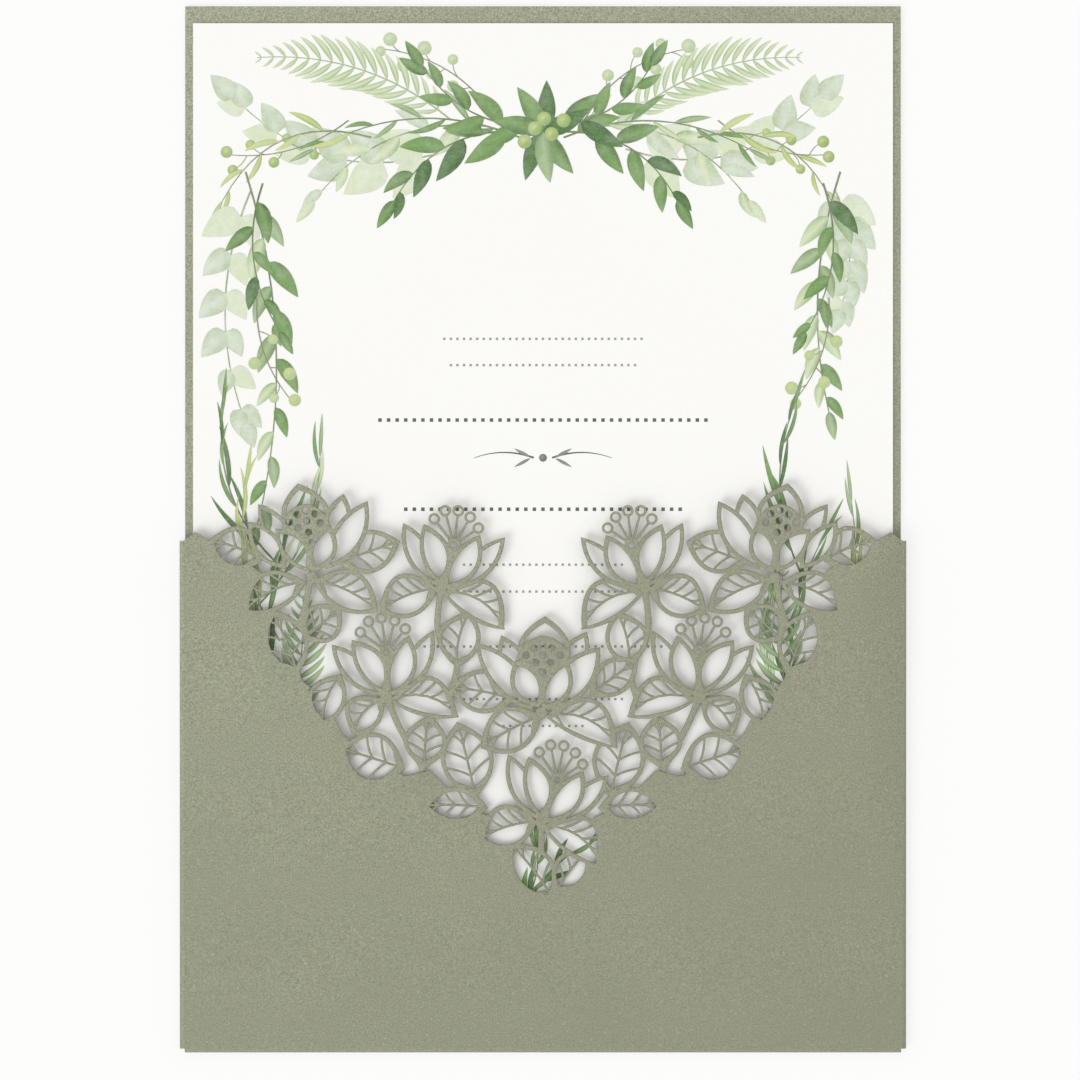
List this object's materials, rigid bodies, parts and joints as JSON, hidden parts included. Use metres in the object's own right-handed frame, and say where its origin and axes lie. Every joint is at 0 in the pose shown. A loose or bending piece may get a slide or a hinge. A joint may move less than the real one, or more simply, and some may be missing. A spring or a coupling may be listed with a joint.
{
  "type": "pocket fold invitation",
  "caption": "Flat pocket folder with a laser-cut floral lace front, holding a loose printed card that shows through the cut openings and above the pocket.",
  "frame": {"origin": "middle of the lowest face, where the folded flaps rest on the table, halfway up the page", "axes": "+X across the page to the right, +Y up the page from the bottom fold to the top edge, +Z out of the front of the folder"},
  "size_m": [0.127, 0.183, 0.003],
  "materials": {
    "pearl_card": "satin pearl",
    "printed_card": "smooth matt",
    "adhesive_tape": "translucent"
  },
  "bodies": {
    "root": {"front_panel": "pearl_card", "back_panel": "pearl_card", "left_side_flap": "pearl_card", "right_side_flap": "pearl_card", "insert_card": "printed_card", "left_flap_tape": "adhesive_tape", "right_flap_tape": "adhesive_tape"}
  },
  "joints": []
}
